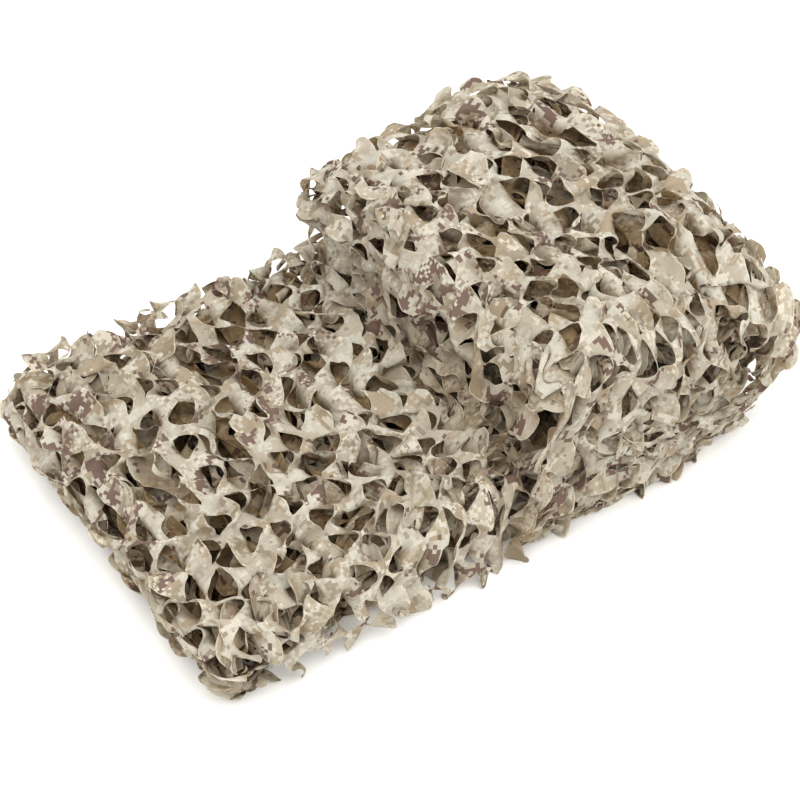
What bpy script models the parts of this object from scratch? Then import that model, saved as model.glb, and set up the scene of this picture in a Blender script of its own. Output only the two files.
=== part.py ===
"""Camouflage netting, folded back and forth into a long bundle whose end is turned back on top.

One cloth sheet with staggered leaf openings, made as a flat grid, folded along a section in the XZ plane
and given its thickness. Metres, +Z up; the origin is the middle of the bundle's footprint, on the floor.
Run it with: blender --background --python part.py
"""

import bmesh
import bpy
import numpy as np

# The cloth
THICKNESS = 0.0024
HALF_WIDTH = 0.246
OPENINGS_ACROSS = 5
SEEN_PITCH = 0.072  # from one row of openings to the next, where the cloth shows
TURN_PITCH = 0.080  # in the turns
INNER_PITCH = 0.178  # and in the runs that lie inside the pile
OPENING_LENGTH = 0.036  # an opening's size along the strip, in its middle
OPENING_WIDTH = 0.68  # and across it, as a share of the cell
TIP_OPENING = 0.26  # its size along the strip at its two ends, as a share of that in its middle
TIP_DROP = 0.15  # its ends lie this share of its length back, so that it is an arch
LEAF_LIFT = 0.0048  # how far the arch of an opening stands off the cloth
LEAF_DIP = 0.0030  # and how far its lower lip goes the other way
EDGE_RAGGED = 0.012  # the side edges run in and out by up to this much

# The folded section: the cloth's runs in order, each on a level of the pile
LAYER_PITCH = 0.0212
RUNS = (
    {"level": 11, "pitch": SEEN_PITCH},
    {"level": 0, "pitch": INNER_PITCH},
    {"level": 5, "pitch": SEEN_PITCH},
    {"level": 6, "pitch": INNER_PITCH},
    {"level": 7, "pitch": INNER_PITCH},
    {"level": 4, "pitch": INNER_PITCH},
    {"level": 1, "pitch": INNER_PITCH},
    {"level": 10, "pitch": INNER_PITCH},
    {"level": 9, "pitch": INNER_PITCH},
    {"level": 2, "pitch": INNER_PITCH},
    {"level": 3, "pitch": INNER_PITCH},
    {"level": 8, "pitch": INNER_PITCH},
)
UPPER_LEVEL = 6  # runs from this level up are the turned-back end
RIGHT_TURN_X = 0.284
LEFT_TURN_X = -0.322
UPPER_TURN_X = {6: 0.052, 8: 0.030, 9: 0.040}  # left ends of the upper runs, by the lower level of each pair
RIGHT_REACH = 0.92  # a right-hand turn's reach over its half height
LEFT_REACH = 1.10
HANG_X = 0.060  # the top run's free end hangs from here
HANG_REACH = 0.046
HANG_DROP = 0.054
TIGHT_HALF_HEIGHT = 0.012  # turns up to this size are plain cloth, with no openings
LINES_IN_A_TURN = 5
PATH_STEP = 0.004

# How the bundle has settled
EDGE_SINK = 0.10  # the pile is this much lower at its sides
SWELL = 0.035  # the middle of the pile stands this much higher
CORNER_DRAW = 0.030  # the ends draw in towards the corners
PULLS = (
    # the upper part's near left corner has slumped to the right and back
    {"x": 0.02, "y": -0.25, "z": 0.26, "reach": (0.17, 0.24, 0.10), "move": (0.080, 0.035), "rise": -0.03},
    # under it the side is drawn in
    {"x": 0.03, "y": -0.25, "z": 0.13, "reach": (0.20, 0.14, 0.09), "move": (0.012, 0.030), "rise": 0.0},
    # the right end bulges
    {"x": 0.40, "y": 0.00, "z": 0.20, "reach": (0.20, 0.24, 0.12), "move": (0.022, 0.000), "rise": 0.0},
    # the far left corner is pulled out
    {"x": -0.38, "y": 0.25, "z": 0.07, "reach": (0.20, 0.16, 0.20), "move": (-0.022, 0.012), "rise": 0.0},
    # its near lower corner is tucked in
    {"x": 0.38, "y": -0.25, "z": 0.00, "reach": (0.16, 0.14, 0.12), "move": (-0.014, 0.020), "rise": 0.0},
    # the near side is tucked in along the floor
    {"x": 0.05, "y": -0.26, "z": 0.00, "reach": (0.40, 0.12, 0.08), "move": (0.000, 0.012), "rise": 0.0},
    # the far side of the upper part stands high
    {"x": 0.30, "y": 0.25, "z": 0.24, "reach": (0.30, 0.14, 0.14), "move": (0.000, 0.010), "rise": 0.05},
)
WAVES = (
    # share of the height, waves along the bundle, waves across it, phase
    {"rise": 0.026, "along": 3.1, "across": 0.8, "phase": 0.4},
    {"rise": 0.020, "along": 1.7, "across": -1.6, "phase": 2.1},
    {"rise": 0.014, "along": 5.3, "across": 1.9, "phase": 4.0},
)

BOTTOM = THICKNESS / 2
HEIGHT = max(run["level"] for run in RUNS) * LAYER_PITCH
COLUMNS = 4 * OPENINGS_ACROSS + 1
CELL = 2 / OPENINGS_ACROSS
HALF_LENGTH = 0.39


def arc(centre_x, centre_z, reach, half_height, start, end):
    """Points on an ellipse between two angles in degrees, counted from +X towards +Z."""
    steps = max(8, int(abs(np.radians(end - start)) * max(abs(reach), abs(half_height)) / PATH_STEP))
    angle = np.radians(np.linspace(start, end, steps + 1))
    return np.stack([centre_x + reach * np.cos(angle), centre_z + half_height * np.sin(angle)], axis=1)


def run_end(number):
    """Where a run ends: (x, side, reach over half height) of the turn after it."""
    level = RUNS[number]["level"]
    following = RUNS[number + 1]["level"] if number + 1 < len(RUNS) else level
    lower = min(level, following)
    if number % 2 == 0:
        return RIGHT_TURN_X, 1, RIGHT_REACH
    if lower >= UPPER_LEVEL:
        return UPPER_TURN_X[lower], -1, LEFT_REACH
    return LEFT_TURN_X, -1, LEFT_REACH


def section_parts():
    """The section in order, as (points, pitch of the openings, or None on a tight turn)."""
    heights = [BOTTOM + run["level"] * LAYER_PITCH for run in RUNS]
    hanging = arc(HANG_X, heights[0] - HANG_DROP, HANG_REACH, HANG_DROP, 180, 90)
    parts = [(hanging, SEEN_PITCH)]
    x = HANG_X
    for number, run in enumerate(RUNS):
        end_x, side, ratio = run_end(number)
        steps = int(abs(end_x - x) / PATH_STEP)
        run_x = np.linspace(x, end_x, steps + 1)
        parts.append((np.stack([run_x, np.full(steps + 1, heights[number])], axis=1), run["pitch"]))
        if number + 1 < len(RUNS):
            half = (heights[number + 1] - heights[number]) / 2
            pitch = None if abs(half) < TIGHT_HALF_HEIGHT else TURN_PITCH
            parts.append((arc(end_x, heights[number] + half, side * ratio * abs(half), half, -90, 90), pitch))
        x = end_x
    return parts


def section_path():
    """The whole section: distance along it, points, unit normals, and its parts as (start, end, pitch)."""
    points, stretches, length = [], [], 0.0
    for part, pitch in section_parts():
        own = np.linalg.norm(np.diff(part, axis=0), axis=1).sum()
        stretches.append((length, length + own, pitch))
        length += own
        points.append(part if not points else part[1:])
    points = np.concatenate(points)
    along = np.concatenate([[0], np.cumsum(np.linalg.norm(np.diff(points, axis=0), axis=1))])
    tangent = np.gradient(points, along, axis=0)
    tangent /= np.linalg.norm(tangent, axis=1)[:, None]
    normals = np.stack([-tangent[:, 1], tangent[:, 0]], axis=1)
    return along, points, normals, stretches


def row_middles(stretches):
    """The middles of the rows of openings between two tight turns, closer together where the pitch is small."""
    counts = np.cumsum([0.0] + [(end - start) / pitch for start, end, pitch in stretches])
    total = max(1, round(counts[-1]))
    wanted = (np.arange(total) + 0.5) * counts[-1] / total
    return np.interp(wanted, counts, [stretches[0][0]] + [end for _, end, _ in stretches])


def cross_lines(stretches):
    """The grid's lines across the strip: (distance along it, row of openings or None, -1 or 1 for its two sides)."""
    lines, group, row = [(0.0, None, 0)], [], 0
    for start, end, pitch in stretches + [(stretches[-1][1], None, None)]:
        if pitch is not None:
            group.append((start, end, pitch))
            continue
        for middle in row_middles(group):
            lines += [(middle - OPENING_LENGTH / 2, row, -1), (middle + OPENING_LENGTH / 2, row, 1)]
            row += 1
        group = []
        if end is not None:
            lines += [(at, None, 0) for at in np.linspace(start, end, LINES_IN_A_TURN)]
    lines.append((stretches[-1][1], None, 0))
    return lines


def opening_at(row, column):
    """(which opening of its row, -1, 0 or 1 for its ends and middle) at a grid column, or None on plain cloth."""
    hole, place = divmod(column - 1 - 2 * (row % 2), 4)
    if place < 3 and 0 <= hole < OPENINGS_ACROSS - row % 2:
        return hole, place - 1
    return None


def is_cut_away(lines, line, column):
    """Whether the grid's face after this line and column is part of an opening."""
    _, row, side = lines[line]
    if row is None or side != -1:
        return False
    found = opening_at(row, column)
    return found is not None and found[1] < 1


def strip_points(lines):
    """For each line and column: distance along the strip, place across it from -1 to 1, and lift off the cloth."""
    across = np.tile(np.linspace(-1, 1, COLUMNS), (len(lines), 1))
    along = np.tile(np.array([at for at, _, _ in lines])[:, None], (1, COLUMNS))
    lift = np.zeros((len(lines), COLUMNS))
    for number, (at, row, side) in enumerate(lines):
        if row is None:
            continue
        half = OPENING_LENGTH / 2
        middle = at - side * half
        for column in range(1, COLUMNS - 1):
            found = opening_at(row, column)
            if found is None:
                continue
            hole, place = found
            size = 1 + 0.14 * np.sin(1.7 * row + 2.3 * hole)
            if place == 0:
                across[number, column] += 0.05 * CELL * np.sin(2.7 * row + 1.9 * hole)
                along[number, column] = middle + side * half * size
                lift[number, column] = LEAF_LIFT if side > 0 else -LEAF_DIP
            else:
                across[number, column] += place * CELL * (OPENING_WIDTH * size - 0.5) / 2
                along[number, column] = middle + half * (side * TIP_OPENING - 2 * TIP_DROP)
    return along, across, lift


def settle(x, y, z):
    """The whole pile's settling, the same for every layer, so that no two of them can meet."""
    side = y / HALF_WIDTH
    end = x / HALF_LENGTH
    rise = 1 + SWELL * (1 - side**2) - EDGE_SINK * side**6
    for wave in WAVES:
        turn = np.pi * (wave["along"] * end + wave["across"] * side) + wave["phase"]
        rise = rise + wave["rise"] * np.sin(turn)
    moved_x = x * (1 - CORNER_DRAW * side**4)
    moved_y = y * (1 - CORNER_DRAW * end**4)
    for pull in PULLS:
        reach_x, reach_y, reach_z = pull["reach"]
        weight = np.exp(
            -(((x - pull["x"]) / reach_x) ** 2)
            - ((y - pull["y"]) / reach_y) ** 2
            - ((z - pull["z"]) / reach_z) ** 2
        )
        moved_x = moved_x + weight * pull["move"][0]
        moved_y = moved_y + weight * pull["move"][1]
        rise = rise + weight * pull["rise"]
    return moved_x, moved_y, BOTTOM + (z - BOTTOM) * rise


def side_places(along, across):
    """The real y of each point: the two side edges run in and out along the strip, each in its own way."""
    near = HALF_WIDTH + EDGE_RAGGED * (np.sin(31.0 * along) + 0.6 * np.sin(57.0 * along + 1.0)) / 1.6
    far = HALF_WIDTH + EDGE_RAGGED * (np.sin(33.0 * along + 2.0) + 0.6 * np.sin(53.0 * along)) / 1.6
    return across * np.where(across < 0, near, far)


def folded_points(lines, path):
    """The grid's points in space, as an array of lines by columns by three."""
    s, points, normals, _ = path
    along, across, lift = strip_points(lines)
    x, z, normal_x, normal_z = (np.interp(along, s, values) for values in (*points.T, *normals.T))
    lift = np.where(z < BOTTOM + 0.5 * LAYER_PITCH, 0.0, lift)
    y = side_places(along, across)
    placed = np.stack(settle(x + lift * normal_x, y, z + lift * normal_z), axis=2)
    low, high = placed.min(axis=(0, 1)), placed.max(axis=(0, 1))
    placed[:, :, :2] -= (low[:2] + high[:2]) / 2
    return placed


def cloth_material():
    """A woven polyester cloth, printed in pale sand tones."""
    material = bpy.data.materials.new("printed_cloth")
    material.use_nodes = True
    shader = material.node_tree.nodes["Principled BSDF"]
    shader.inputs["Base Color"].default_value = (0.58, 0.53, 0.43, 1.0)
    shader.inputs["Roughness"].default_value = 0.85
    shader.inputs["Metallic"].default_value = 0.0
    return material


def build_net(collection):
    """The netting: a flat grid with its leaf openings cut away, folded, and thickened."""
    path = section_path()
    lines = cross_lines(path[3])
    placed = folded_points(lines, path)
    rows, columns = len(lines) - 1, COLUMNS - 1
    bm = bmesh.new()
    bmesh.ops.create_grid(bm, x_segments=rows, y_segments=columns, size=0.5)
    cut_away = []
    for face in bm.faces:
        middle = face.calc_center_median()
        if is_cut_away(lines, int((middle.x + 0.5) * rows), int((middle.y + 0.5) * columns)):
            cut_away.append(face)
    for vertex in bm.verts:
        vertex.co = placed[round((vertex.co.x + 0.5) * rows), round((vertex.co.y + 0.5) * columns)]
    bmesh.ops.delete(bm, geom=cut_away, context="FACES")
    mesh = bpy.data.meshes.new("net")
    bm.to_mesh(mesh)
    bm.free()
    mesh.shade_smooth()
    net = bpy.data.objects.new("net", mesh)
    collection.objects.link(net)
    mesh.materials.append(cloth_material())
    thicken = net.modifiers.new("cloth thickness", "SOLIDIFY")
    thicken.thickness = THICKNESS
    thicken.offset = 0.0
    return net


def main():
    for old in list(bpy.data.objects):
        bpy.data.objects.remove(old)
    collection = bpy.data.collections.new("folded_camouflage_net")
    bpy.context.scene.collection.children.link(collection)
    build_net(collection)


main()
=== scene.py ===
import math

import bpy
import numpy as np
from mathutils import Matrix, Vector


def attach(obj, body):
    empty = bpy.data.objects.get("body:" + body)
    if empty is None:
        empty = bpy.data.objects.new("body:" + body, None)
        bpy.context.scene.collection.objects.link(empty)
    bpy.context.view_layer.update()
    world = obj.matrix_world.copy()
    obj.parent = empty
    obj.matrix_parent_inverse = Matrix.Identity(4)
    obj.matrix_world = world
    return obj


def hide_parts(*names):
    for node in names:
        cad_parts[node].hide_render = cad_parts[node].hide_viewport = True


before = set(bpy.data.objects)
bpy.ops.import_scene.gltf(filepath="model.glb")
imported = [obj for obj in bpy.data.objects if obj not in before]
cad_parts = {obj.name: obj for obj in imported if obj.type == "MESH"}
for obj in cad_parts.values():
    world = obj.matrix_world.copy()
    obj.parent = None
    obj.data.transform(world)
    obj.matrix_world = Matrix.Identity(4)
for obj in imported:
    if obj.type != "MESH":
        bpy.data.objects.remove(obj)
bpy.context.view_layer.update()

# Camouflage netting, folded into a bundle. A printed cloth with rows of arched slits is pulled open,
# which makes a net of twisted leaves of it, and the net is laid along the bundle's folded section.
# Everything is in metres, +Z up, with the origin under the middle of the bundle.

# the bundle's folded section and how it has settled, the same as in the solid model but for `sunk`
bundle = {
    "levels": (11, 0, 5, 6, 7, 4, 1, 10, 9, 2, 3, 8),  # the level of each run, in the cloth's order
    "upperLevel": 6,  # the runs from this level up are the turned-back upper part
    "bottom": 0.0012,  # height of the lowest run
    "layerPitch": 0.0212,  # from one level to the next
    "rightTurnX": 0.284,  # where the runs turn back at the right end
    "leftTurnX": -0.322,  # at the left end
    "upperTurnX": {6: 0.052, 8: 0.030, 9: 0.040},  # and over the valley, by the lower level of each turn
    "rightReach": 0.92,  # how far a turn reaches out at the right end, against half its height
    "leftReach": 1.10,  # and at its left end
    "hang": {"x": 0.060, "reach": 0.046, "drop": 0.054},  # the top run's free end, over the valley
    "sunk": 0.014,  # what lies directly under the outer layers is sunk by this, to leave them room
    "halfWidth": 0.246,
    "halfLength": 0.39,
    "centre": (0.0054, 0.0066),  # the middle of the settled bundle, which is moved to the origin
    "edgeSink": 0.10,  # the pile is this share lower at its sides
    "swell": 0.035,  # and this share higher in its middle
    "cornerDraw": 0.030,  # the ends draw in towards the corners
}
# where the bundle has slumped, bulges or is drawn in: how far that reaches, how far it moves the cloth
# in X and Y, and the share of its height by which it raises it
pulls = (
    {"at": (0.02, -0.25, 0.26), "reach": (0.17, 0.24, 0.10), "move": (0.080, 0.035), "rise": -0.03},
    {"at": (0.03, -0.25, 0.13), "reach": (0.20, 0.14, 0.09), "move": (0.012, 0.030), "rise": 0.0},
    {"at": (0.40, 0.00, 0.20), "reach": (0.20, 0.24, 0.12), "move": (0.022, 0.000), "rise": 0.0},
    {"at": (-0.38, 0.25, 0.07), "reach": (0.20, 0.16, 0.20), "move": (-0.022, 0.012), "rise": 0.0},
    {"at": (0.38, -0.25, 0.00), "reach": (0.16, 0.14, 0.12), "move": (-0.014, 0.020), "rise": 0.0},
    {"at": (0.05, -0.26, 0.00), "reach": (0.40, 0.12, 0.08), "move": (0.000, 0.012), "rise": 0.0},
    {"at": (0.30, 0.25, 0.24), "reach": (0.30, 0.14, 0.14), "move": (0.000, 0.010), "rise": 0.05},
)
# the uneven top: share of the height, waves along half the bundle, waves across it, phase
waves = (
    {"rise": 0.026, "along": 3.1, "across": 0.8, "phase": 0.4},
    {"rise": 0.020, "along": 1.7, "across": -1.6, "phase": 2.1},
    {"rise": 0.014, "along": 5.3, "across": 1.9, "phase": 4.0},
)

# how the cloth is slit and how far it is pulled open
leafCut = {
    "cell": 0.063,  # from one slit to the next in its row
    "ribbon": 0.0240,  # from one row of slits to the next
    "ribbonVaries": 0.24,
    "wander": 3,  # mesh columns by which a row of slits strays from half a cell's shift
    "slit": (0.55, 0.93),  # least and greatest share of the cell that its slit takes
    "arch": 0.0160,  # how far a slit bows up or down in its middle, which leaves a tongue beside it
    "pointed": (1.2, 1.7, 2.1, 2.5, 3.3),  # a slit's shapes, from a point over an arc to a rounded box
    "bow": (0.6, 1.2),  # least and greatest share of the arch
    "snake": 0.3,  # and the greatest share by which a slit also bends to and fro
    "bowedUp": 0.65,  # share of the slits that bow towards the next row
    "merged": 0.07,  # share of the bridges between slits that are cut too
    "hang": 0.0009,  # how strongly a tongue hangs out of the net
    "hangVaries": (0.6, 1.2),  # least and greatest share of that
    "upward": 0.40,  # share of the tongues that stand up instead
    "stand": 0.7,  # how strongly they do, against hanging
    "tip": 4,  # columns over which the end of a ribbon is rounded
    "tipPower": (0.45, 0.9),  # how round that is: at 0.5 a half ellipse, and more pointed above it
    "ragged": 4,  # columns by which a ribbon's ends reach out or stay back
    "columns": 16,  # mesh columns in a cell
    "rows": 5,  # mesh rows in a ribbon
    "openAlong": 1.12,  # how much longer the cloth gets across its slits as they open
    "openAcross": 0.83,  # and how much narrower
    "openVaries": 0.15,
    "openLumps": (4, 20),  # the ribbons and mesh columns over which that changes
    # how far the opened lattice strays, as smooth noise: every so many ribbons and mesh columns, by so
    # much across and along; then how far each of its knots strays by itself, across, along and in depth
    "warp": ((4, 40, 0.012, 0.012), (2, 15, 0.006, 0.007)),
    "jitter": (0.006, 0.007, 0.008),
    "flatAcross": 0.7,  # how strongly a leaf keeps flat across its ribbon, up to 1
    "leafLift": 0.007,  # the cloth between the tongues stands no further than about this off the layer
    "tongueLift": 0.020,  # and a tongue's tip this much more
    "creases": ((18, 0.034, 0.0014), (82, 0.027, 0.0012), (137, 0.021, 0.0010)),  # angle, wave, height
    "creaseBend": 0.45,  # the share of a wave by which their lines are bent
    "creaseLumps": ((16, 14), (12, 10)),  # the mesh rows and columns over which they bend, and fade
    "steps": 160,  # steps of the pulling open
}
# the outer layers: finer meshes, and leaves that lie flatter
outerCut = dict(leafCut, cell=0.058, ribbon=0.0224, arch=0.0156, columns=18, rows=6, leafLift=0.005,
                tongueLift=0.018, flatAcross=0.9, steps=300)
# the upper part's layer has been pulled open further
upperCut = dict(outerCut, cell=0.060, ribbon=0.0226, openAlong=1.16, upward=0.34, merged=0.09)
# where the net is gathered: closer rows, which stand in pleats since they are pushed together
gatheredCut = dict(leafCut, cell=0.056, ribbon=0.019, arch=0.010, pointed=(1.1, 1.5, 2.0), upward=0.27,
                   openAlong=0.6, openAcross=0.9, leafLift=0.005, tongueLift=0.010, steps=240)
# up the valley's wall it is gathered less, and down the near side it lies in narrow, nearly flat ribbons
wallCut = dict(gatheredCut, ribbon=0.0185, arch=0.0115, openAlong=0.85, openAcross=0.85,
               tongueLift=0.012)
sideCut = dict(gatheredCut, cell=0.060, ribbon=0.0140, arch=0.0085, openAlong=0.62, openAcross=0.94,
               leafLift=0.004, tongueLift=0.007)


def smoothNoise(shape, lump, rng):
    # random numbers in -1..1 on a coarse grid, one every `lump` samples, and between them blended by
    # f f (3 - 2 f), f from 0 to 1
    rows, columns = shape
    lumpRows, lumpColumns = lump
    coarse = rng.uniform(-1, 1, (int(rows / lumpRows) + 3, int(columns / lumpColumns) + 3))
    i, j = np.arange(rows) / lumpRows, np.arange(columns) / lumpColumns
    i0, j0 = i.astype(int), j.astype(int)
    fi, fj = (i - i0)[:, None], (j - j0)[None]
    fi, fj = fi * fi * (3 - 2 * fi), fj * fj * (3 - 2 * fj)
    low = coarse[i0][:, j0] * (1 - fi) + coarse[i0 + 1][:, j0] * fi
    high = coarse[i0][:, j0 + 1] * (1 - fi) + coarse[i0 + 1][:, j0 + 1] * fi
    return low * (1 - fj) + high * fj


def slitPlan(cut, ribbons, cells, first, last, rng):
    # Row b of slits runs at the summed ribbon widths. A slit bows off that line by
    # arch * (bow * (1 - |u|^power)^0.8 + snake * sin(pi u) * (1 - |u|)), u from -1 to 1 along it, and
    # every second row is shifted by half a cell. Near a ribbon's ends the rows are slit right through.
    per = cut["columns"]
    columns = int(cells * per) + 1
    k = np.arange(columns)
    b = np.arange(ribbons + 1)[:, None]
    shift = (b % 2) * (per // 2) - rng.integers(0, 2 * cut["wander"] + 1, b.shape)
    cell = (k[None] - shift + per // 2) // per
    offset = (k[None] - shift + per // 2) % per - per // 2
    size = (ribbons + 1, cell.max() + 1)

    def perSlit(values):
        return np.take_along_axis(values, cell, axis=1)

    low = -perSlit(rng.uniform(*cut["slit"], size)) * per / 2
    high = perSlit(rng.uniform(*cut["slit"], size)) * per / 2
    u = np.clip(np.where(offset < 0, -offset / low, offset / high), -1, 1)
    side = np.where(rng.random(size) < cut["bowedUp"], 1.0, -1.0)
    bow = perSlit(side * rng.uniform(*cut["bow"], size))
    snake = perSlit(rng.uniform(-cut["snake"], cut["snake"], size))
    power = perSlit(rng.choice(cut["pointed"], size))
    lean = np.sin(np.pi * u) * (1 - np.abs(u))
    curve = cut["arch"] * (bow * (1 - np.abs(u) ** power) ** 0.8 + snake * lean)
    isUpward = rng.random(size) < cut["upward"]
    hang = perSlit(np.where(isUpward, -cut["stand"], rng.uniform(*cut["hangVaries"], size)))
    merged = rng.random(size) < cut["merged"]
    mergedNext, mergedBefore = perSlit(merged), perSlit(np.roll(merged, 1, axis=1))
    isCut = (offset > low) & (offset < high)
    isCut |= (mergedNext & (offset > 0)) | (mergedBefore & (offset < 0))
    isBridge = (offset == -(per // 2)) & ~mergedBefore
    tip = cut["tip"] + 1
    isCut[1:-1] |= k[None] <= np.maximum(first[:-1], first[1:])[:, None] + tip
    isCut[1:-1] |= k[None] >= np.minimum(last[:-1], last[1:])[:, None] - tip
    isCut[0] = isCut[-1] = False
    widths = cut["ribbon"] * (1 + cut["ribbonVaries"] * rng.uniform(-1, 1, ribbons))
    line = np.concatenate([[0], np.cumsum(widths)])
    return k * cut["cell"] / per, line, curve, isCut, isBridge, hang


# how stiff the cloth is as it is pulled open, and how the steps of that go; 1 is rigid at once
pulling = {
    "fourApart": 0.40,  # points that far apart along a row, which keeps a ribbon's bends wide
    "twoApart": 0.6,
    "diagonal": 0.7,
    "edge": 1.0,
    "overJoin": 0.6,  # the rows on either side of where two ribbons are joined
    "bridge": 0.15,  # share of its way to the lattice that a bridge goes in a step
    "opened": 0.65,  # share of the steps after which the lattice is open; the cloth settles in the rest
    "speedKept": 0.92,
    "pressed": 0.2,  # share of what stands too high that a step takes away
    "uneven": 0.004,  # how far the flat cloth strays from a plane before it is pulled
    "unevenLumps": (7, 7),  # and the mesh rows and columns over which it does
}


def pullTogether(points, first, second, rest, strength):
    # moves each pair of points along the line between them, towards the pair's flat distance
    gap = points[second] - points[first]
    length = np.sqrt(np.einsum("...i,...i->...", gap, gap)) + 1e-9
    gap *= (0.5 * strength * (1 - rest / length))[..., None]
    points[first] += gap
    points[second] -= gap


def joinRibbons(points, joined):
    # a ribbon's last row and the next one's first row are one row wherever no slit parts them
    middle = (points[:-1, -1] + points[1:, 0]) / 2
    points[:-1, -1] = np.where(joined, middle, points[:-1, -1])
    points[1:, 0] = np.where(joined, middle, points[1:, 0])


def openSlits(cut, ribbons, cells, length, first, last, seed):
    # The cloth is pulled open slowly: the bridges between slits go to a lattice `openAlong` times
    # longer and `openAcross` times narrower, and the cloth between them keeps its own lengths (edges
    # and diagonals) and most of its straightness (points 2 and 4 apart), so it bends and twists. The
    # tongues that the slits bow round are pulled down, the more the nearer to their tips.
    rng = np.random.default_rng(seed)
    across, line, curve, isCut, isBridge, hang = slitPlan(cut, ribbons, cells, first, last, rng)
    columns, rows = len(across), cut["rows"]
    r = np.linspace(0, 1, rows + 1)[None, :, None]
    bound = line[:, None] + curve
    flatY = (bound[:-1, None] * (1 - r) + bound[1:, None] * r).astype(np.float32)
    flatX = np.broadcast_to(across, flatY.shape).astype(np.float32)

    widths = np.diff(line)
    varied = cut["openVaries"] * smoothNoise((ribbons, columns), cut["openLumps"], rng)
    opening = widths[:, None] * (1 + varied)
    goalY = np.concatenate([np.zeros((1, columns)), np.cumsum(opening, axis=0)])
    goalY *= length / goalY[-1].mean()
    goalX = np.broadcast_to(across * cut["openAcross"], goalY.shape).copy()
    for ribbonsApart, columnsApart, strayX, strayY in cut["warp"]:
        goalX += strayX * smoothNoise(goalY.shape, (ribbonsApart, columnsApart), rng)
        goalY += strayY * smoothNoise(goalY.shape, (ribbonsApart, columnsApart), rng)
    jitter = rng.uniform(-1, 1, (3, *goalY.shape)) * np.array(cut["jitter"])[:, None, None]
    goal = np.stack([goalX + jitter[0], goalY + jitter[1], jitter[2]], axis=-1).astype(np.float32)
    start = np.stack([np.broadcast_to(across, bound.shape), bound, np.zeros_like(bound)], axis=-1)
    start = start.astype(np.float32)

    points = np.stack([flatX, flatY, np.zeros_like(flatX)], axis=-1)
    bumps = smoothNoise((ribbons * (rows + 1), columns), pulling["unevenLumps"], rng)
    points[..., 2] = pulling["uneven"] * bumps.reshape(flatX.shape)
    joined = ~isCut[1:-1, :, None]
    joinRibbons(points, joined)
    tongue = np.maximum(flatY - line[1:, None, None], 0) * (isCut * hang)[1:, None]
    tongue += np.maximum(line[:-1, None, None] - flatY, 0) * (isCut * hang)[:-1, None]
    tongue = (tongue / cut["arch"]).astype(np.float32)
    highest = cut["leafLift"] + cut["tongueLift"] * np.abs(tongue)

    everything = slice(None)
    links = []

    def flatGap(one, other):
        return np.hypot(flatX[one] - flatX[other], flatY[one] - flatY[other])

    def link(one, other, strength):
        links.append((one, other, flatGap(one, other), strength))

    # each link holds points of which none is in it twice, so that they can all be moved at once
    for apart, strength in ((4, pulling["fourApart"]), (2, pulling["twoApart"])):
        for k in range(apart):
            for base in (k, k + apart):
                link((everything, everything, slice(base, columns - apart, 2 * apart)),
                     (everything, everything, slice(base + apart, columns, 2 * apart)), strength)
    for r0 in range(rows - 1):
        link((everything, r0), (everything, r0 + 2), cut["flatAcross"])
    for r0 in range(rows - 2):
        link((everything, r0), (everything, r0 + 3), cut["flatAcross"])
    upper, lower = slice(0, rows), slice(1, rows + 1)
    for k in (0, 1):
        left, right = slice(k, columns - 1, 2), slice(k + 1, columns, 2)
        link((everything, upper, left), (everything, lower, right), pulling["diagonal"])
        link((everything, lower, left), (everything, upper, right), pulling["diagonal"])
    for k in (0, 1):
        link((everything, everything, slice(k, columns - 1, 2)),
             (everything, everything, slice(k + 1, columns, 2)), pulling["edge"])
        link((everything, slice(k, rows, 2)), (everything, slice(k + 1, rows + 1, 2)), pulling["edge"])
    acrossJoin = ((slice(0, -1), -2), (slice(1, None), 1))
    joinRest = flatGap(*acrossJoin)
    joinStrength = pulling["overJoin"] * joined[..., 0].astype(np.float32)

    bridge = isBridge[..., None] * np.float32(pulling["bridge"])
    speed = np.zeros_like(points)
    steps = cut["steps"]
    for step in range(steps):
        share = min(1.0, (step + 1) / (pulling["opened"] * steps))
        share = share * share * (3 - 2 * share)
        before = points.copy()
        points += pulling["speedKept"] * speed
        points[..., 2] -= cut["hang"] * tongue
        place = start + (goal - start) * share
        points[:, 0] += (place[:-1] - points[:, 0]) * bridge[:-1]
        points[:, -1] += (place[1:] - points[:, -1]) * bridge[1:]
        for one, other, rest, strength in links:
            pullTogether(points, one, other, rest, strength)
        pullTogether(points, *acrossJoin, joinRest, joinStrength)
        joinRibbons(points, joined)
        lift = points[..., 2]
        lift -= pulling["pressed"] * np.sign(lift) * np.maximum(np.abs(lift) - highest, 0)
        speed = points - before
    return flatX, flatY, points, isCut


def creased(points, flatX, flatY, cut, rng):
    # Moves the cloth along its normal by the sum of triangle waves, |2 (t - floor(t)) - 1| - 0.5 of
    # t = (x cos a + y sin a) / wave + bend, which stand for the sharp creases of cloth that was folded
    # small. Smooth noise bends their lines and fades them in and out.
    shape, grid = flatX.shape, (flatX.shape[0] * flatX.shape[1], flatX.shape[2])
    height, (bendLumps, fadeLumps) = np.zeros(shape), cut["creaseLumps"]
    for angle, wave, depth in cut["creases"]:
        a = math.radians(angle)
        bent = cut["creaseBend"] * smoothNoise(grid, bendLumps, rng).reshape(shape)
        faded = 0.5 + 0.5 * smoothNoise(grid, fadeLumps, rng).reshape(shape)
        t = (flatX * math.cos(a) + flatY * math.sin(a)) / wave + bent
        height += depth * faded * (np.abs(2 * (t - np.floor(t)) - 1) - 0.5)
    normal = np.cross(np.gradient(points, axis=2), np.gradient(points, axis=1))
    normal /= np.linalg.norm(normal, axis=-1, keepdims=True) + 1e-9
    return points + normal * height[..., None]


def arc(centre, reach, halfHeight, start, end):
    # centre + (reach cos a, halfHeight sin a), with a from start to end in degrees
    a = np.radians(np.linspace(start, end, 60))
    return np.stack([centre[0] + reach * np.cos(a), centre[1] + halfHeight * np.sin(a)], axis=1)


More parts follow.
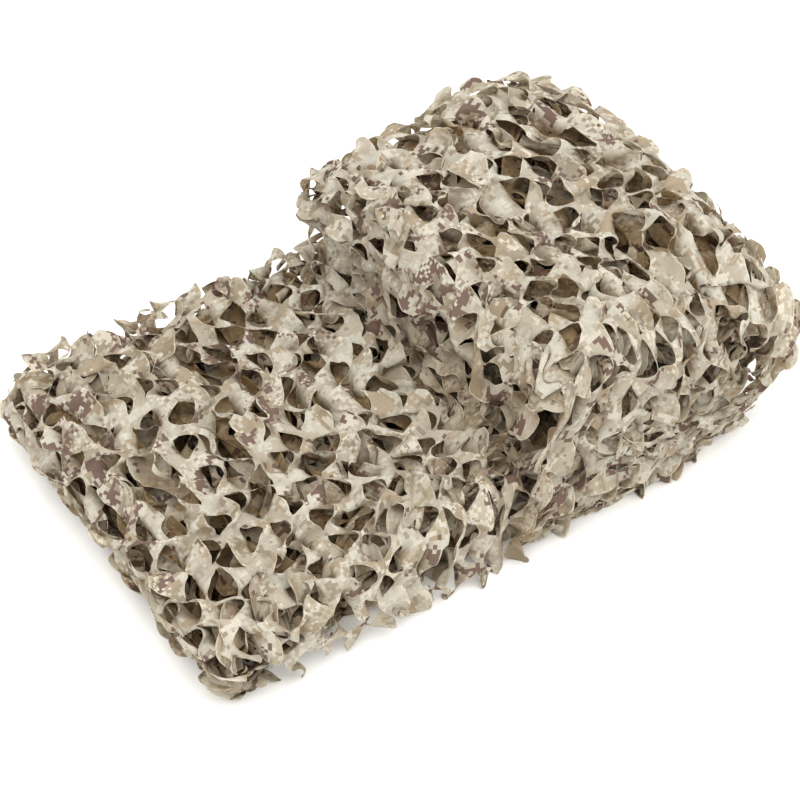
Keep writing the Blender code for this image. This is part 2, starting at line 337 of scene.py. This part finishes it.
def level(x0, x1, z):
    # a straight run from x0 to x1 at the height z
    return np.stack([np.linspace(x0, x1, 60), np.full(60, z)], axis=1)


def measuredPath(stretches):
    # Joins stretches of (points, values), where the values are named numbers that hold all along it,
    # and works out the distance along the whole and the normal on the left of it.
    points = np.concatenate([stretch for stretch, _ in stretches])
    keep = np.concatenate([[True], np.linalg.norm(np.diff(points, axis=0), axis=1) > 1e-7])
    points = points[keep]
    along = np.concatenate([[0], np.cumsum(np.linalg.norm(np.diff(points, axis=0), axis=1))])
    tangent = np.gradient(points, along, axis=0)
    tangent /= np.linalg.norm(tangent, axis=1)[:, None]
    path = {"along": along, "points": points, "tangent": tangent}
    path["normal"] = np.stack([-tangent[:, 1], tangent[:, 0]], axis=1)
    near = np.linspace(-0.02, 0.02, 9)[None]  # the values are blended over 40 mm
    for name in stretches[0][1]:
        values = np.concatenate([np.full(len(stretch), held[name]) for stretch, held in stretches])[keep]
        path[name] = np.interp(along[:, None] + near, along, values).mean(axis=1)
    return path


# How the inner cloth lies in the pile. "squeeze" is the share of its lift that it keeps between its
# neighbours, and "fold" is how far from the middle its sides are folded under.
laid = {
    "pressed": {"squeeze": 0.6, "fold": 0.206},  # right under the outer layers
    "loose": {"squeeze": 0.9, "fold": 0.232},  # and elsewhere
    "tightTurn": {"upTo": 0.012, "squeeze": 0.55},  # turns of up to this for half their height
    "wideTurn": {"from": 0.045, "squeeze": 0.8},  # all others; from this on they are sunk too
    "valleySunk": 1.5,  # over the valley the turns are sunk so many times as far
    "bend": 0.0075,  # the radius at which the sides are folded under
    "split": 0.04,  # in X, where the upper part begins
}


def foldedPath(bundle):
    # Straight runs on their levels, joined by half ellipses, after an arc that hangs down at the start.
    # What lies directly under the outer layers is sunk a little, to leave them room.
    sunk, split, pressed, loose = bundle["sunk"], laid["split"], laid["pressed"], laid["loose"]
    heights = [bundle["bottom"] + each * bundle["layerPitch"] - sunk * (each in (5, 11))
               for each in bundle["levels"]]
    hang = bundle["hang"]
    x = hang["x"]
    start = arc((x, heights[0] - hang["drop"]), hang["reach"] - sunk, hang["drop"], 180, 90)
    stretches = [(start, pressed)]
    for number, height in enumerate(bundle["levels"]):
        following = bundle["levels"][min(number + 1, len(heights) - 1)]
        lower = min(height, following)
        if number % 2 == 0:
            endX, side = bundle["rightTurnX"], bundle["rightReach"]
        elif lower >= bundle["upperLevel"]:
            endX = bundle["upperTurnX"][lower] + laid["valleySunk"] * sunk
            side = -bundle["leftReach"]
        else:
            endX, side = bundle["leftTurnX"], -bundle["leftReach"]
        stops = [x, split, endX] if min(x, endX) < split < max(x, endX) else [x, endX]
        for x0, x1 in zip(stops, stops[1:]):
            isLeft = x0 + x1 < 2 * split
            held = dict(pressed if height == 11 or (height == 5 and isLeft) else loose)
            if isLeft or height > bundle["upperLevel"]:
                held["fold"] = pressed["fold"]
            stretches.append((level(x0, x1, heights[number]), held))
        if following != height:
            half = (heights[number + 1] - heights[number]) / 2
            isOuter = abs(half) > laid["wideTurn"]["from"]
            turn = laid["tightTurn" if abs(half) < laid["tightTurn"]["upTo"] else "wideTurn"]
            reach = side * abs(half) - math.copysign(sunk, side) * isOuter
            held = dict(pressed if isOuter else loose, squeeze=turn["squeeze"])
            if lower >= bundle["upperLevel"]:
                held["fold"] = pressed["fold"]
            stretches.append((arc((endX, heights[number] + half), reach, half, -90, 90), held))
        x = endX
    return measuredPath(stretches)


# The outer layers, which lie over everything else and hang over its sides. For each stretch of a
# layer's section, "near" is how far it hangs over the near side, "turn" is 1 where it hangs square to
# the section there and 0 where it hangs straight down, and "kept" is its share of painted shade,
# which darkens the valley and the foot of its wall most.
outer = {
    "off": 0.003,  # how far they lie outside the folded net
    "fold": 0.222,  # from the middle to where they bend down over the sides
    "bend": 0.024,  # the radius of that bend
    "standsOut": 0.010,  # what stands out further than this is pressed down,
    "pressedBy": 0.55,  # by this share of the rest
    "far": 0.055,  # how far they hang over the far side
    "lower": {"near": (0.060, 0.118, 0.118), "turn": (1, 0, 0), "kept": (0, 0, 0.40), "seed": 23},
    "upper": {"near": (0.145, 0.140, 0.060, 0.060), "turn": (0, 0, 1, 1), "kept": (0, 0, 0, 0),
              "seed": 37},
    "wall": {"near": (0.012, 0.012), "turn": (1, 1), "kept": (0.60, 0.20), "seed": 41},
    "end": {"near": (0.030,), "turn": (1,), "kept": (0.2,), "seed": 53},
    "side": {"from": 0.020, "to": 0.350, "kept": 0.3, "seed": 47},  # its ends in X
    "valley": {"from": -0.010, "length": 0.060, "drop": 0.012},  # the lower layer's way down into it
    "foot": {"x": -0.009, "radius": 0.026},  # where the valley's wall begins
    "wallBulge": {"in": 0.004, "half": 0.060},  # how far it stays behind the hanging end; half its height
    "endOff": 0.001,  # how far the gathered left end lies outside the folded net
    "under": 0.04,  # how far the upper layer reaches back under the right end
    # down the near side of the high part: how far its middle is in from the bundle's half width, how
    # high up that is, how far it reaches out from there and half its height
    "sideBulge": {"in": 0.020, "height": 0.060, "reach": 0.024, "half": 0.062},
}


def layerPath(name, *stretches):
    # the layer's stretches joined, each with its own values
    values = zip(outer[name]["near"], outer[name]["turn"], outer[name]["kept"])
    return measuredPath([(stretch, {"near": float(near), "turn": float(turn), "kept": float(kept)})
                         for stretch, (near, turn, kept) in zip(stretches, values)])


def leftEnd(bundle, off, start, end):
    # an arc of the lower part's left end
    half = 2.5 * bundle["layerPitch"]
    middle = (bundle["leftTurnX"], bundle["bottom"] + half)
    return arc(middle, bundle["leftReach"] * half + off, half + off, start, end)


def lowerPath(bundle):
    # from the left end's middle over the lower part's top and down into the valley, where it falls by
    # drop * t t (3 - 2 t), t from 0 to 1
    top = bundle["bottom"] + 5 * bundle["layerPitch"] + outer["off"]
    valley, t = outer["valley"], np.linspace(0, 1, 40)
    fall = valley["drop"] * t * t * (3 - 2 * t)
    dip = np.stack([valley["from"] + valley["length"] * t, top - fall], axis=1)
    return layerPath("lower", leftEnd(bundle, outer["off"], 200, 90),
                     level(bundle["leftTurnX"], valley["from"], top), dip)


def endPath(bundle):
    # up the left end under the lower layer, where the net is gathered between the folds
    return layerPath("end", leftEnd(bundle, outer["endOff"], 272, 165))


def upperPath(bundle):
    # from where it hangs over the valley along the upper part's top and round the right end
    off, bottom, x, hang = outer["off"], bundle["bottom"], bundle["rightTurnX"], bundle["hang"]
    top = bottom + 11 * bundle["layerPitch"]
    middle, half = (top + bottom) / 2, (top - bottom) / 2
    over = (hang["x"], top - hang["drop"])
    return layerPath("upper",
                     arc(over, hang["reach"] + off, hang["drop"] + off, 172, 90),
                     level(hang["x"], x, top + off),
                     arc((x, middle), bundle["rightReach"] * half + off, half + off, 90, -90),
                     level(x, x - outer["under"], bottom - off))


def wallPath(bundle):
    # out of the valley in a round foot and up its wall, where the net is gathered between the folds
    hang, bottom = bundle["hang"], bundle["bottom"] + 5 * bundle["layerPitch"] + outer["off"]
    foot, radius, bulge = outer["foot"], outer["foot"]["radius"], outer["wallBulge"]
    middle = (hang["x"] - bulge["in"], bundle["bottom"] + 8 * bundle["layerPitch"])
    return layerPath("wall", arc((foot["x"], bottom + radius), radius, radius, 275, 360),
                     arc(middle, hang["reach"], bulge["half"], 212, 120))


def sidePath(bundle):
    # down the near side under the upper part, in distance from the middle and height
    bulge = outer["sideBulge"]
    middle = (bundle["halfWidth"] - bulge["in"], bulge["height"])
    section = arc(middle, bulge["reach"], bulge["half"], 80, -80)
    return measuredPath([(section, {"kept": outer["side"]["kept"]})])


def settle(x, y, z):
    # the pile's height is scaled by 1 + swell (1 - side^2) - edgeSink side^6 + waves, and each pull
    # moves what is near it, by a weight of exp(-(distance / reach)^2)
    side, end = y / bundle["halfWidth"], x / bundle["halfLength"]
    rise = 1 + bundle["swell"] * (1 - side**2) - bundle["edgeSink"] * np.minimum(side**6, 1.0)
    for wave in waves:
        ahead = wave["along"] * end + wave["across"] * side
        rise = rise + wave["rise"] * np.sin(np.pi * ahead + wave["phase"])
    movedX = x * (1 - bundle["cornerDraw"] * side**4)
    movedY = y * (1 - bundle["cornerDraw"] * end**4)
    for pull in pulls:
        away = sum(((p - q) / r) ** 2 for p, q, r in zip((x, y, z), pull["at"], pull["reach"]))
        weight = np.exp(-away)
        movedX = movedX + weight * pull["move"][0]
        movedY = movedY + weight * pull["move"][1]
        rise = rise + weight * pull["rise"]
    movedZ = bundle["bottom"] + (z - bundle["bottom"]) * rise
    return np.stack([movedX - bundle["centre"][0], movedY - bundle["centre"][1], movedZ], axis=-1)


def restOnFloor(points, softness=0.0025, clear=0.0004):
    # z becomes clear + softness * ln(1 + e^(z / softness)), so that what would lie under the floor is
    # pressed onto it
    z = points[..., 2]
    points[..., 2] = clear + softness * np.logaddexp(0, z / softness)
    return points


def alongPath(points, path):
    # the section's place, normal and named values at each point's distance along it
    distance = np.clip(points[..., 1], 0, path["along"][-1])

    def read(values):
        return np.interp(distance, path["along"], values)

    beyond = points[..., 1] - distance
    place = [read(path["points"][:, i]) + beyond * read(path["tangent"][:, i]) for i in (0, 1)]
    normal = [read(path["normal"][:, i]) for i in (0, 1)]
    return place, normal, read


# painted shade on the cloth, darker the deeper it lies, as shares, and the lengths over which that
# changes
paintedShadeShares = {
    "inside": 0.75,  # inside the bundle, where it is at least `least`
    "least": 0.35,
    "perLift": 0.018,  # 1 less for so much lift
    "sideLoss": 0.7,  # share of it that is lost along the folded sides
    "sideFrom": 0.012,  # which begins so far inside them
    "sideOver": 0.024,  # and is complete after this
    "outerMost": 0.6,  # the most on an outer layer
    "tongue": 0.8,  # and the share of what is left on a tongue that hangs inwards
    "tongueFrom": 0.003,  # which begins so far inwards
    "tongueOver": 0.012,  # and is complete after this
}


def layFolded(points, path):
    # A point goes to its distance along the section plus its lift along the normal. Both sides of the
    # cloth are folded under: round a half circle of radius `bend`, then back towards the middle. Its
    # painted shade is inside - lift / perLift, darker the deeper it lies, and less along the folded
    # sides.
    (x, z), (nx, nz), read = alongPath(points, path)
    bend, look = laid["bend"], paintedShadeShares
    lift = points[..., 2] * read(path["squeeze"])
    fold = read(path["fold"])
    excess = np.maximum(np.abs(points[..., 0]) - fold, 0)
    turn = np.minimum(excess / bend, np.pi)
    out = np.minimum(np.abs(points[..., 0]), fold) + (bend + lift) * np.sin(turn)
    out -= np.maximum(excess - np.pi * bend, 0)
    rise = -bend + (bend + lift) * np.cos(turn)
    y = np.sign(points[..., 0]) * out
    paintedShade = np.clip(look["inside"] - lift / look["perLift"], look["least"], 1)
    paintedShade *= 1 - look["sideLoss"] * np.clip((out - fold + look["sideFrom"]) / look["sideOver"], 0, 1)
    return restOnFloor(settle(x + nx * rise, y, z + nz * rise)), paintedShade


def layOver(points, path, isSide=False):
    # A point goes to its distance along the section plus its lift along the normal. What reaches over
    # the side bends down round a quarter circle of radius `bend` and hangs from there. On the side
    # itself the section is in distance from the middle and height, and the ribbons run along X. Its
    # painted shade is the path's own share, which is less towards the far side, and a tongue that
    # hangs inwards gets most of what is left.
    (x, z), (nx, nz), read = alongPath(points, path)
    bend, look = outer["bend"], paintedShadeShares
    lift = points[..., 2] - outer["pressedBy"] * np.maximum(points[..., 2] - outer["standsOut"], 0)
    kept = np.clip(read(path["kept"]) * (1 - points[..., 0] / outer["fold"]), 0, look["outerMost"])
    inwards = np.clip((-look["tongueFrom"] - lift) / look["tongueOver"], 0, 1)
    paintedShade = 1 - (1 - kept) * (1 - look["tongue"] * inwards)
    if isSide:
        return restOnFloor(settle(points[..., 0], -x - nx * lift, z + nz * lift)), paintedShade
    turnShare = read(path["turn"])
    downX, downZ = -nx * turnShare, -nz * turnShare - (1 - turnShare)
    size = np.hypot(downX, downZ) + 1e-6
    excess = np.maximum(np.abs(points[..., 0]) - outer["fold"], 0)
    turn = np.minimum(excess / bend, np.pi / 2)
    out = np.minimum(np.abs(points[..., 0]), outer["fold"]) + (bend + lift) * np.sin(turn)
    drop = bend * (1 - np.cos(turn)) + np.maximum(excess - bend * np.pi / 2, 0)
    x = x + nx * lift * np.cos(turn) + downX / size * drop
    z = z + nz * lift * np.cos(turn) + downZ / size * drop
    return restOnFloor(settle(x, np.sign(points[..., 0]) * out, z)), paintedShade


def ribbonEnds(cut, length, ribbons, near, far, rng):
    # how far each ribbon reaches to either side of the middle, in whole mesh columns. It gives the number
    # of cells that takes, how far in the middle is, and each ribbon's first and last column.
    step = cut["cell"] * cut["openAcross"] / cut["columns"]
    spare = 6  # columns left free beyond the longest ribbons
    place = (np.arange(ribbons) + 0.5) * length / ribbons
    before, after = near(place) / step, far(place) / step
    middle = int(before.max()) + spare
    cells = math.ceil((middle + after.max() + spare) / cut["columns"])
    ragged = rng.integers(-cut["ragged"], cut["ragged"] + 1, (2, ribbons))
    first = np.round(middle - before).astype(int) + ragged[0]
    last = np.round(middle + after).astype(int) + ragged[1]
    return cells, middle * step, np.maximum(first, 0), np.minimum(last, cells * cut["columns"])


def roundTips(points, first, last, cut, rng):
    # near its ends a ribbon narrows to its middle line by (1 - (1 - t)^2)^power, t from nearly 0 to 1
    k = np.arange(points.shape[2])
    inside = np.minimum(k[None] - first[:, None], last[:, None] - k[None])
    t = np.clip(inside / cut["tip"], 0.03, 1)
    share = (1 - (1 - t) ** 2) ** rng.uniform(*cut["tipPower"], len(first))[:, None]
    middle = points.mean(axis=1, keepdims=True)
    return middle + (points - middle) * share[:, None, :, None]


def clothMesh(name, points, flat, paintedShade, isCut, first, last, material):
    # quads between neighbouring points; a ribbon shares its first row with the one before, but at the
    # slits. The flat place goes to the UV map, "cutEdge" is 1 on a slit's lips and ribbons' ends, and the
    # other attribute is painted shade: 0 where the cloth is lit and 1 where it is darkened most.
    ribbons, rows, columns = points.shape[:3]
    number = np.arange(ribbons * rows * columns).reshape(ribbons, rows, columns)
    k = np.arange(columns)
    edge = np.zeros(number.shape, np.float32)
    edge[1:, 0] = isCut[1:-1]
    edge[:-1, -1] = isCut[1:-1]
    isEnd = (k[None] <= first[:, None]) | (k[None] >= last[:, None])
    edge = np.where(isEnd[:, None], 1, edge)
    number[1:, 0] = np.where(isCut[1:-1], number[1:, 0], number[:-1, -1])
    kept = (k[None, :-1] >= first[:, None]) & (k[None, 1:] <= last[:, None])
    kept = np.broadcast_to(kept[:, None], (ribbons, rows - 1, columns - 1))

    def corners(grid):
        around = (grid[:, :-1, :-1], grid[:, :-1, 1:], grid[:, 1:, 1:], grid[:, 1:, :-1])
        return np.stack(around, axis=3)[kept]

    quads, flatCorners = corners(number), corners(flat)
    used, order = np.unique(quads, return_inverse=True)
    order = order.reshape(-1).astype(np.int32)
    mesh = bpy.data.meshes.new(name)
    mesh.vertices.add(len(used))
    mesh.vertices.foreach_set("co", points.reshape(-1, 3)[used].astype(np.float32).ravel())
    mesh.loops.add(len(order))
    mesh.loops.foreach_set("vertex_index", order)
    mesh.polygons.add(len(order) // 4)
    mesh.polygons.foreach_set("loop_start", np.arange(0, len(order), 4, dtype=np.int32))
    mesh.update(calc_edges=True)
    uv = mesh.uv_layers.new(name="flatCloth")
    uv.data.foreach_set("uv", flatCorners.reshape(-1, 2).astype(np.float32).ravel())
    for attribute, values in (("cutEdge", edge), ("paintedShade", paintedShade)):
        layer = mesh.attributes.new(attribute, "FLOAT", "POINT")
        layer.data.foreach_set("value", values.reshape(-1)[used].astype(np.float32))
    mesh.shade_smooth()
    mesh.materials.append(material)
    piece = bpy.data.objects.new(name, mesh)
    bpy.context.scene.collection.objects.link(piece)
    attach(piece, "root")
    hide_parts("net")


def linear(hexColour):
    # sRGB hex to linear RGBA
    parts = [int(hexColour[i : i + 2], 16) / 255 for i in (1, 3, 5)]
    return tuple(c / 12.92 if c <= 0.04045 else ((c + 0.055) / 1.055) ** 2.4 for c in parts) + (1.0,)


def addNode(tree, kind, settings=(), links=()):
    # one node, its settings by name (a socket's where the name is one of its inputs) and its links
    node = tree.nodes.new(kind)
    for name, value in dict(settings).items():
        if isinstance(name, int) or (name in node.inputs and not hasattr(node, name)):
            node.inputs[name].default_value = value
        else:
            setattr(node, name, value)
    for name, source in dict(links).items():
        tree.links.new(source, node.inputs[name])
    return node


# Printed polyester cloth, plain woven and coated: matt and thin enough to let some light through, with
# a digital print whose squares keep hard edges. Painted shade darkens it deep in the bundle and in the
# valley, and the slits' cut edges show the paler yarn, with a painted highlight along them.
clothPrint = {
    "square": 0.0044,  # side of a square of the print
    "fleck": 0.0029,  # and of the small ones strewn over it
    "sand": "#C2BDAE",
    "faint": "#B8B2A2",
    "pale": "#CBC4B3",
    "stone": "#B1A795",
    "khaki": "#A3947C",
    "shade": "#968C79",
    "brown": "#745F55",
    # the print's layers from the lowest up: tone, side of its squares, how fine its patches are (finer
    # for a greater number), their place in the noise, how far single squares stray from them, and the
    # value from which it is printed
    "layers": (
        ("faint", "square", 0.330, (29, 51, 4), 0.30, 0.660),
        ("stone", "square", 0.120, (11, 3, 0), 0.15, 0.575),
        ("khaki", "square", 0.125, (45, 71, 2), 0.15, 0.688),
        ("pale", "square", 0.170, (7, 93, 8), 0.20, 0.745),
        ("brown", "square", 0.115, (83, 27, 5), 0.13, 0.704),
        ("shade", "square", 0.150, (61, 17, 9), -0.20, 0.560),
        ("khaki", "fleck", 0.085, (19, 67, 6), 0.34, 0.925),
        ("pale", "fleck", 0.095, (37, 5, 12), 0.34, 0.915),
    ),
    # the cut edges' paler yarn, brightened further as a painted highlight that fades in the painted shade
    "rim": "#DAD1BA",
    "rimFrom": 0.76,  # the rim shows from here in "cutEdge", which is 1 on the edge,
    "rimTo": 0.95,
    "rimShare": 0.85,  # with this share outside the painted shade
    "rimInPaintedShade": 0.25,  # and this share of that in the full painted shade
    "paintedShadeTint": (0.42, 0.315, 0.195, 1.0),  # painted shade: what the print is multiplied by where that shade is full
    "through": (1.0, 0.88, 0.70, 1.0),  # what the cloth leaves of light that shines through it
    "thin": 0.24,  # the share of the light that does
    "roughness": 0.80,
    "specular": 0.25,
    "yarns": 520.0,  # in a metre: one in 1.9 mm, coarser than the real ones, so that they show
    "folds": ((24, 0.023, 1.0), (97, 0.019, 0.8), (151, 0.014, 0.5)),  # angle, pitch, share of depth
    "foldDepth": 0.0036,
    "yarnHeight": 0.04,  # against a fold's
    "grain": (0.84, 1.10),  # how dark and how light the yarns make the print
    "foldStray": 0.0625,  # metres over which a fold strays from its straight line
}


def printedCloth(look):
    # The flat cloth's place in metres is rounded down to squares. A square gets a layer's tone where
    # smooth noise plus some noise of its own is above that layer's limit.
    material = bpy.data.materials.new("printedPolyesterCloth")
    material.use_nodes = True
    tree = material.node_tree
    tree.nodes.clear()
    place = addNode(tree, "ShaderNodeUVMap", {"uv_map": "flatCloth"}).outputs["UV"]
    squares = {}
    for size in ("square", "fleck"):
        perMetre = 1 / look[size]
        scaled = addNode(tree, "ShaderNodeMapping", {"Scale": (perMetre, perMetre, 1)}, {"Vector": place})
        rounded = addNode(tree, "ShaderNodeVectorMath", {"operation": "FLOOR"}, {0: scaled.outputs[0]})
        squares[size] = rounded.outputs[0]

    colour = None
    for tone, size, scale, origin, stray, limit in look["layers"]:
        moved = addNode(tree, "ShaderNodeMapping", {"Location": origin}, {"Vector": squares[size]})
        patches = addNode(tree, "ShaderNodeTexNoise", {"Scale": scale, "Detail": 1.0, "Roughness": 0.55},
                          {"Vector": moved.outputs[0]})
        single = addNode(tree, "ShaderNodeTexWhiteNoise", {"noise_dimensions": "3D"},
                         {"Vector": moved.outputs[0]})
        both = addNode(tree, "ShaderNodeMath", {"operation": "MULTIPLY_ADD", 1: stray},
                       {0: single.outputs["Value"], 2: patches.outputs["Fac"]})
        printed = addNode(tree, "ShaderNodeMath", {"operation": "GREATER_THAN", 1: limit},
                          {0: both.outputs[0]})
        links = {0: printed.outputs[0]}
        if colour is not None:
            links[6] = colour
        tones = {6: linear(look["sand"]), 7: linear(look[tone])}
        colour = addNode(tree, "ShaderNodeMix", {"data_type": "RGBA", **tones}, links).outputs[2]

    # painted shade: the print is darkened towards the shade tint as far as the attribute says
    paintedShade = addNode(tree, "ShaderNodeAttribute", {"attribute_name": "paintedShade"}).outputs["Fac"]
    multiplied = {"data_type": "RGBA", "blend_type": "MULTIPLY", 0: 1.0}
    paintedShadeTint = addNode(tree, "ShaderNodeMix", {**multiplied, 7: look["paintedShadeTint"]}, {6: colour})
    colour = addNode(tree, "ShaderNodeMix", {"data_type": "RGBA"},
                     {0: paintedShade, 6: colour, 7: paintedShadeTint.outputs[2]})
    # the paler yarn at the cut edges, with a painted highlight on it that fades where the painted shade
    # is
    edge = addNode(tree, "ShaderNodeAttribute", {"attribute_name": "cutEdge"}).outputs["Fac"]
    rim = addNode(tree, "ShaderNodeMapRange", {"From Min": look["rimFrom"], "From Max": look["rimTo"],
                                               "To Max": look["rimShare"]}, {"Value": edge})
    rimOutsideShade = addNode(tree, "ShaderNodeMapRange", {"To Min": 1.0, "To Max": look["rimInPaintedShade"]},
                       {"Value": paintedShade})
    paler = addNode(tree, "ShaderNodeMath", {"operation": "MULTIPLY"},
                    {0: rim.outputs[0], 1: rimOutsideShade.outputs[0]})
    colour = addNode(tree, "ShaderNodeMix", {"data_type": "RGBA", 7: linear(look["rim"])},
                     {0: paler.outputs[0], 6: colour.outputs[2]})

    weave = addNode(tree, "ShaderNodeTexNoise", {"Scale": look["yarns"], "Detail": 3.0, "Roughness": 0.7},
                    {"Vector": place}).outputs["Fac"]
    darkest, lightest = look["grain"]
    grain = addNode(tree, "ShaderNodeMapRange", {"From Min": 0.25, "From Max": 0.75, "To Min": darkest,
                                                 "To Max": lightest}, {"Value": weave})
    colour = addNode(tree, "ShaderNodeVectorMath", {"operation": "SCALE"},
                     {0: colour.outputs[2], "Scale": grain.outputs[0]}).outputs[0]

    # the height: the yarns, and triangle waves across the cloth whose straight folds smooth noise bends
    bent = addNode(tree, "ShaderNodeTexNoise", {"Scale": 1 / look["foldStray"], "Detail": 0.0},
                   {"Vector": place}).outputs["Fac"]
    height = addNode(tree, "ShaderNodeMath", {"operation": "MULTIPLY", 1: look["yarnHeight"]},
                     {0: weave}).outputs[0]
    for angle, wave, share in look["folds"]:
        a = math.radians(angle)
        direction = (math.cos(a) / wave, math.sin(a) / wave, 0)
        across = addNode(tree, "ShaderNodeVectorMath", {"operation": "DOT_PRODUCT", 1: direction},
                         {0: place})
        strayed = addNode(tree, "ShaderNodeMath", {"operation": "MULTIPLY_ADD", 1: 2.0},
                          {0: bent, 2: across.outputs["Value"]})
        fold = addNode(tree, "ShaderNodeMath", {"operation": "PINGPONG", 1: 1.0}, {0: strayed.outputs[0]})
        height = addNode(tree, "ShaderNodeMath", {"operation": "MULTIPLY_ADD", 1: share},
                         {0: fold.outputs[0], 2: height}).outputs[0]
    bump = addNode(tree, "ShaderNodeBump", {"Strength": 1.0, "Distance": look["foldDepth"]},
                   {"Height": height}).outputs[0]

    shader = addNode(tree, "ShaderNodeBsdfPrincipled",
                     {"Roughness": look["roughness"], "Specular IOR Level": look["specular"]},
                     {"Base Color": colour, "Normal": bump})
    warm = addNode(tree, "ShaderNodeMix", {**multiplied, 7: look["through"]}, {6: colour})
    through = addNode(tree, "ShaderNodeBsdfTranslucent", {}, {"Color": warm.outputs[2], "Normal": bump})
    thin = addNode(tree, "ShaderNodeMixShader", {0: look["thin"]},
                   {1: shader.outputs[0], 2: through.outputs[0]})
    addNode(tree, "ShaderNodeOutputMaterial", {}, {"Surface": thin.outputs[0]})
    return material


def openedNet(cut, path, near, far, seed):
    # a strip of net, opened to the path's length, that reaches near(place) and far(place) to either side
    length = path["along"][-1]
    ribbons = round(length / (cut["ribbon"] * cut["openAlong"]))
    rng = np.random.default_rng(seed)
    cells, middle, first, last = ribbonEnds(cut, length, ribbons, near, far, rng)
    flatX, flatY, points, isCut = openSlits(cut, ribbons, cells, length, first, last, seed)
    points = roundTips(points, first, last, cut, rng)
    points[..., 0] -= middle
    points = creased(points, flatX, flatY, cut, rng)
    return points, np.stack([flatX, flatY + seed], axis=-1), isCut, first, last


# the folded net inside: how far it reaches from its middle before it is laid, and the number of meshes
# that it is divided into
netStrip = {"reach": 0.288, "meshes": 4, "seed": 11}


def buildFolded(material):
    # one strip of net along the whole folded section, divided where one ribbon ends
    path = foldedPath(bundle)

    def reach(place):
        return np.full(len(place), netStrip["reach"])

    points, flat, isCut, first, last = openedNet(leafCut, path, reach, reach, netStrip["seed"])
    placed, paintedShade = layFolded(points, path)
    print("folded net opened:", len(first), "ribbons")
    cuts = np.round(np.linspace(0, len(first), netStrip["meshes"] + 1)).astype(int)
    for part, (low, high) in enumerate(zip(cuts, cuts[1:])):
        clothMesh(f"net_folded_{part + 1}", placed[low:high], flat[low:high], paintedShade[low:high],
                  isCut[low : high + 1], first[low:high], last[low:high], material)


def buildOuter(name, cut, path, material):
    # one outer layer along its own path, `near` and `far` over the sides from where they are folded
    look = outer[name]
    isSide = "from" in look

    def nearReach(place):
        if isSide:
            return np.full(len(place), -look["from"])
        return outer["fold"] + np.interp(place, path["along"], path["near"])

    def farReach(place):
        return np.full(len(place), look["to"] if isSide else outer["fold"] + outer["far"])

    points, flat, isCut, first, last = openedNet(cut, path, nearReach, farReach, look["seed"])
    placed, paintedShade = layOver(points, path, isSide)
    clothMesh(f"net_{name}", placed, flat, paintedShade, isCut, first, last, material)


# the floor, the light and the camera
stage = {
    "floor": "#F4F3F0",
    "floorSize": 12.0,
    "key": {"place": (-0.35, -0.25, 2.00), "size": 2.2, "watts": 28.0},
    "fill": {"place": (1.4, -1.6, 1.3), "size": 1.6, "watts": 12.0},
    "sky": 1.44,
    "camera": {"azimuth": -32.4, "elevation": 47.5, "away": 2.2, "lens": 87.2,
               "target": (-0.022, -0.026, 0.078)},
}


def buildStage(stage):
    # a square floor of matt backdrop paper, two square lamps that look at the origin, and a white sky
    half = stage["floorSize"] / 2
    mesh = bpy.data.meshes.new("floor")
    corners = [(-half, -half, 0), (half, -half, 0), (half, half, 0), (-half, half, 0)]
    mesh.from_pydata(corners, [], [(0, 1, 2, 3)])
    floor = bpy.data.objects.new("floor", mesh)
    bpy.context.scene.collection.objects.link(floor)
    material = bpy.data.materials.new("matteBackdropPaper")
    material.use_nodes = True
    shader = material.node_tree.nodes["Principled BSDF"]
    shader.inputs["Base Color"].default_value = linear(stage["floor"])
    shader.inputs["Roughness"].default_value = 0.9
    mesh.materials.append(material)

    for name in ("key", "fill"):
        light = bpy.data.lights.new(name, "AREA")
        light.energy, light.size = stage[name]["watts"], stage[name]["size"]
        lamp = bpy.data.objects.new(name, light)
        bpy.context.scene.collection.objects.link(lamp)
        lamp.location = stage[name]["place"]
        lamp.rotation_euler = (-Vector(stage[name]["place"])).to_track_quat("-Z", "Y").to_euler()

    world = bpy.data.worlds.new("softStudio")
    world.use_nodes = True
    world.node_tree.nodes["Background"].inputs[0].default_value = (1, 1, 1, 1)
    world.node_tree.nodes["Background"].inputs[1].default_value = stage["sky"]
    bpy.context.scene.world = world
    bpy.context.scene.view_settings.view_transform = "Standard"


def buildCamera(view):
    # back from the target along (sin a cos e, -cos a cos e, sin e)
    a, e = math.radians(view["azimuth"]), math.radians(view["elevation"])
    back = Vector((math.sin(a) * math.cos(e), -math.cos(a) * math.cos(e), math.sin(e)))
    camera = bpy.data.objects.new("camera", bpy.data.cameras.new("camera"))
    bpy.context.scene.collection.objects.link(camera)
    camera.data.lens = view["lens"]
    camera.location = Vector(view["target"]) + back * view["away"]
    camera.rotation_euler = (-back).to_track_quat("-Z", "Y").to_euler()
    bpy.context.scene.camera = camera


buildStage(stage)
buildCamera(stage["camera"])
print("stage ready")
cloth = printedCloth(clothPrint)
buildOuter("lower", outerCut, lowerPath(bundle), cloth)
buildOuter("upper", upperCut, upperPath(bundle), cloth)
buildOuter("wall", wallCut, wallPath(bundle), cloth)
buildOuter("end", gatheredCut, endPath(bundle), cloth)
buildOuter("side", sideCut, sidePath(bundle), cloth)
buildFolded(cloth)
print("net ready")
